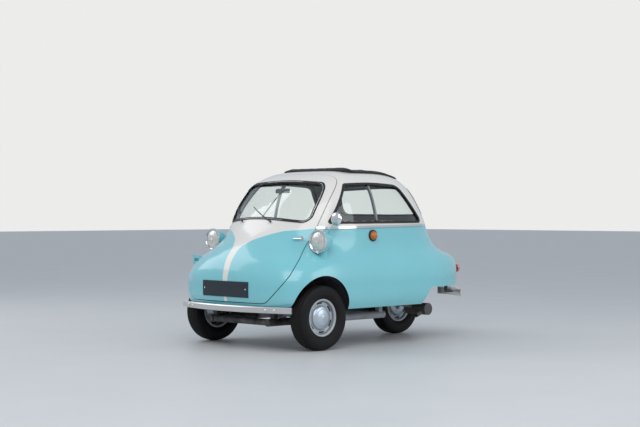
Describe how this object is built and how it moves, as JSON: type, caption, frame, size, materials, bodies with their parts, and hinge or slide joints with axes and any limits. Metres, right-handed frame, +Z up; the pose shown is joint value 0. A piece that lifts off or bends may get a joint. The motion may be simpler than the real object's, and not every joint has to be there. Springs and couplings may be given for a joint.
{
  "type": "bubble car",
  "caption": "Rounded two-seat microcar whose whole nose swings open as its door, with a canvas roof, wide front wheels and a wheel under its tail.",
  "frame": {"origin": "on the ground, below the middle of the overall box", "axes": "+Z up, the nose towards -Y, the car's own left towards +X"},
  "size_m": [1.388, 2.355, 1.3732],
  "materials": {
    "turquoise_paint": "gloss",
    "white_paint": "gloss",
    "glass": "clear",
    "rubber": "matt",
    "canvas": "woven",
    "upholstery": "woven",
    "chrome": "polished",
    "wheel_paint": "satin",
    "tyre": "matt",
    "frame_paint": "satin",
    "floor_paint": "satin",
    "engine_metal": "cast",
    "plate": "satin",
    "lens": "clear",
    "amber": "gloss",
    "red": "gloss",
    "black_plastic": "gloss",
    "steering_plastic": "gloss",
    "mirror": "polished"
  },
  "bodies": {
    "body": {"body_shell": "turquoise_paint", "body_windows": "glass", "body_window_seals": "rubber", "canvas_roof": "canvas", "belt_rails": "chrome", "front_bumper": "chrome", "rear_bumpers": "chrome", "headlamp_bowls": "turquoise_paint", "headlamp_rims": "chrome", "headlamp_lenses": "lens", "indicator_bases": "black_plastic", "indicator_lenses": "amber", "tail_lamps": "red", "wing_mirror": "chrome", "floor_pan": "floor_paint", "rear_shelf": "floor_paint", "seat_base": "frame_paint", "seat_cushion": "upholstery", "seat_back": "upholstery", "chassis_frame": "frame_paint", "front_suspension": "frame_paint", "rear_axle": "frame_paint", "engine": "engine_metal", "silencer": "frame_paint", "body_hinge": "turquoise_paint", "pedals_and_lever": "frame_paint"},
    "door": {"door_shell": "turquoise_paint", "windscreen": "glass", "windscreen_seal": "rubber", "number_plate": "plate", "dash": "turquoise_paint", "steering_column": "frame_paint", "door_handle": "chrome", "wipers": "chrome", "interior_mirror": "chrome", "door_hinge": "turquoise_paint"},
    "steering_wheel": {"steering_wheel": "steering_plastic"},
    "knuckle_left": {"knuckle_left": "frame_paint"},
    "knuckle_right": {"knuckle_right": "frame_paint"},
    "front_left_wheel": {"tyre_front_left": "tyre", "wheel_front_left": "wheel_paint"},
    "front_right_wheel": {"tyre_front_right": "tyre", "wheel_front_right": "wheel_paint"},
    "rear_wheel": {"tyre_rear": "tyre", "wheel_rear": "wheel_paint"}
  },
  "joints": [
    {"name": "door_swing", "type": "hinge", "parent": "body", "child": "door", "pos_m": [-0.604, -0.955, 0.655], "axis": [0, 0, -1], "range_deg": [0, 80]},
    {"name": "steer_left", "type": "hinge", "parent": "body", "child": "knuckle_left", "pos_m": [0.54, -0.75, 0.245], "axis": [0, 0, 1], "range_deg": [-30, 30]},
    {"name": "steer_right", "type": "hinge", "parent": "body", "child": "knuckle_right", "pos_m": [-0.54, -0.75, 0.245], "axis": [0, 0, 1], "range_deg": [-30, 30]},
    {"name": "steering_wheel_turn", "type": "hinge", "parent": "door", "child": "steering_wheel", "pos_m": [-0.245, -0.47, 0.784], "axis": [0, 0.7633, 0.6461], "range_deg": [-270, 270]},
    {"name": "spin_front_left", "type": "hinge", "parent": "knuckle_left", "child": "front_left_wheel", "pos_m": [0.6, -0.75, 0.245], "axis": [1, 0, 0], "continuous": true},
    {"name": "spin_front_right", "type": "hinge", "parent": "knuckle_right", "child": "front_right_wheel", "pos_m": [-0.6, -0.75, 0.245], "axis": [1, 0, 0], "continuous": true},
    {"name": "spin_rear", "type": "hinge", "parent": "body", "child": "rear_wheel", "pos_m": [0, 0.75, 0.245], "axis": [1, 0, 0], "continuous": true}
  ],
  "couplings": [
    {"joint": "steer_right", "follows": "steer_left", "ratio": 1},
    {"joint": "steering_wheel_turn", "follows": "steer_left", "ratio": 9}
  ]
}
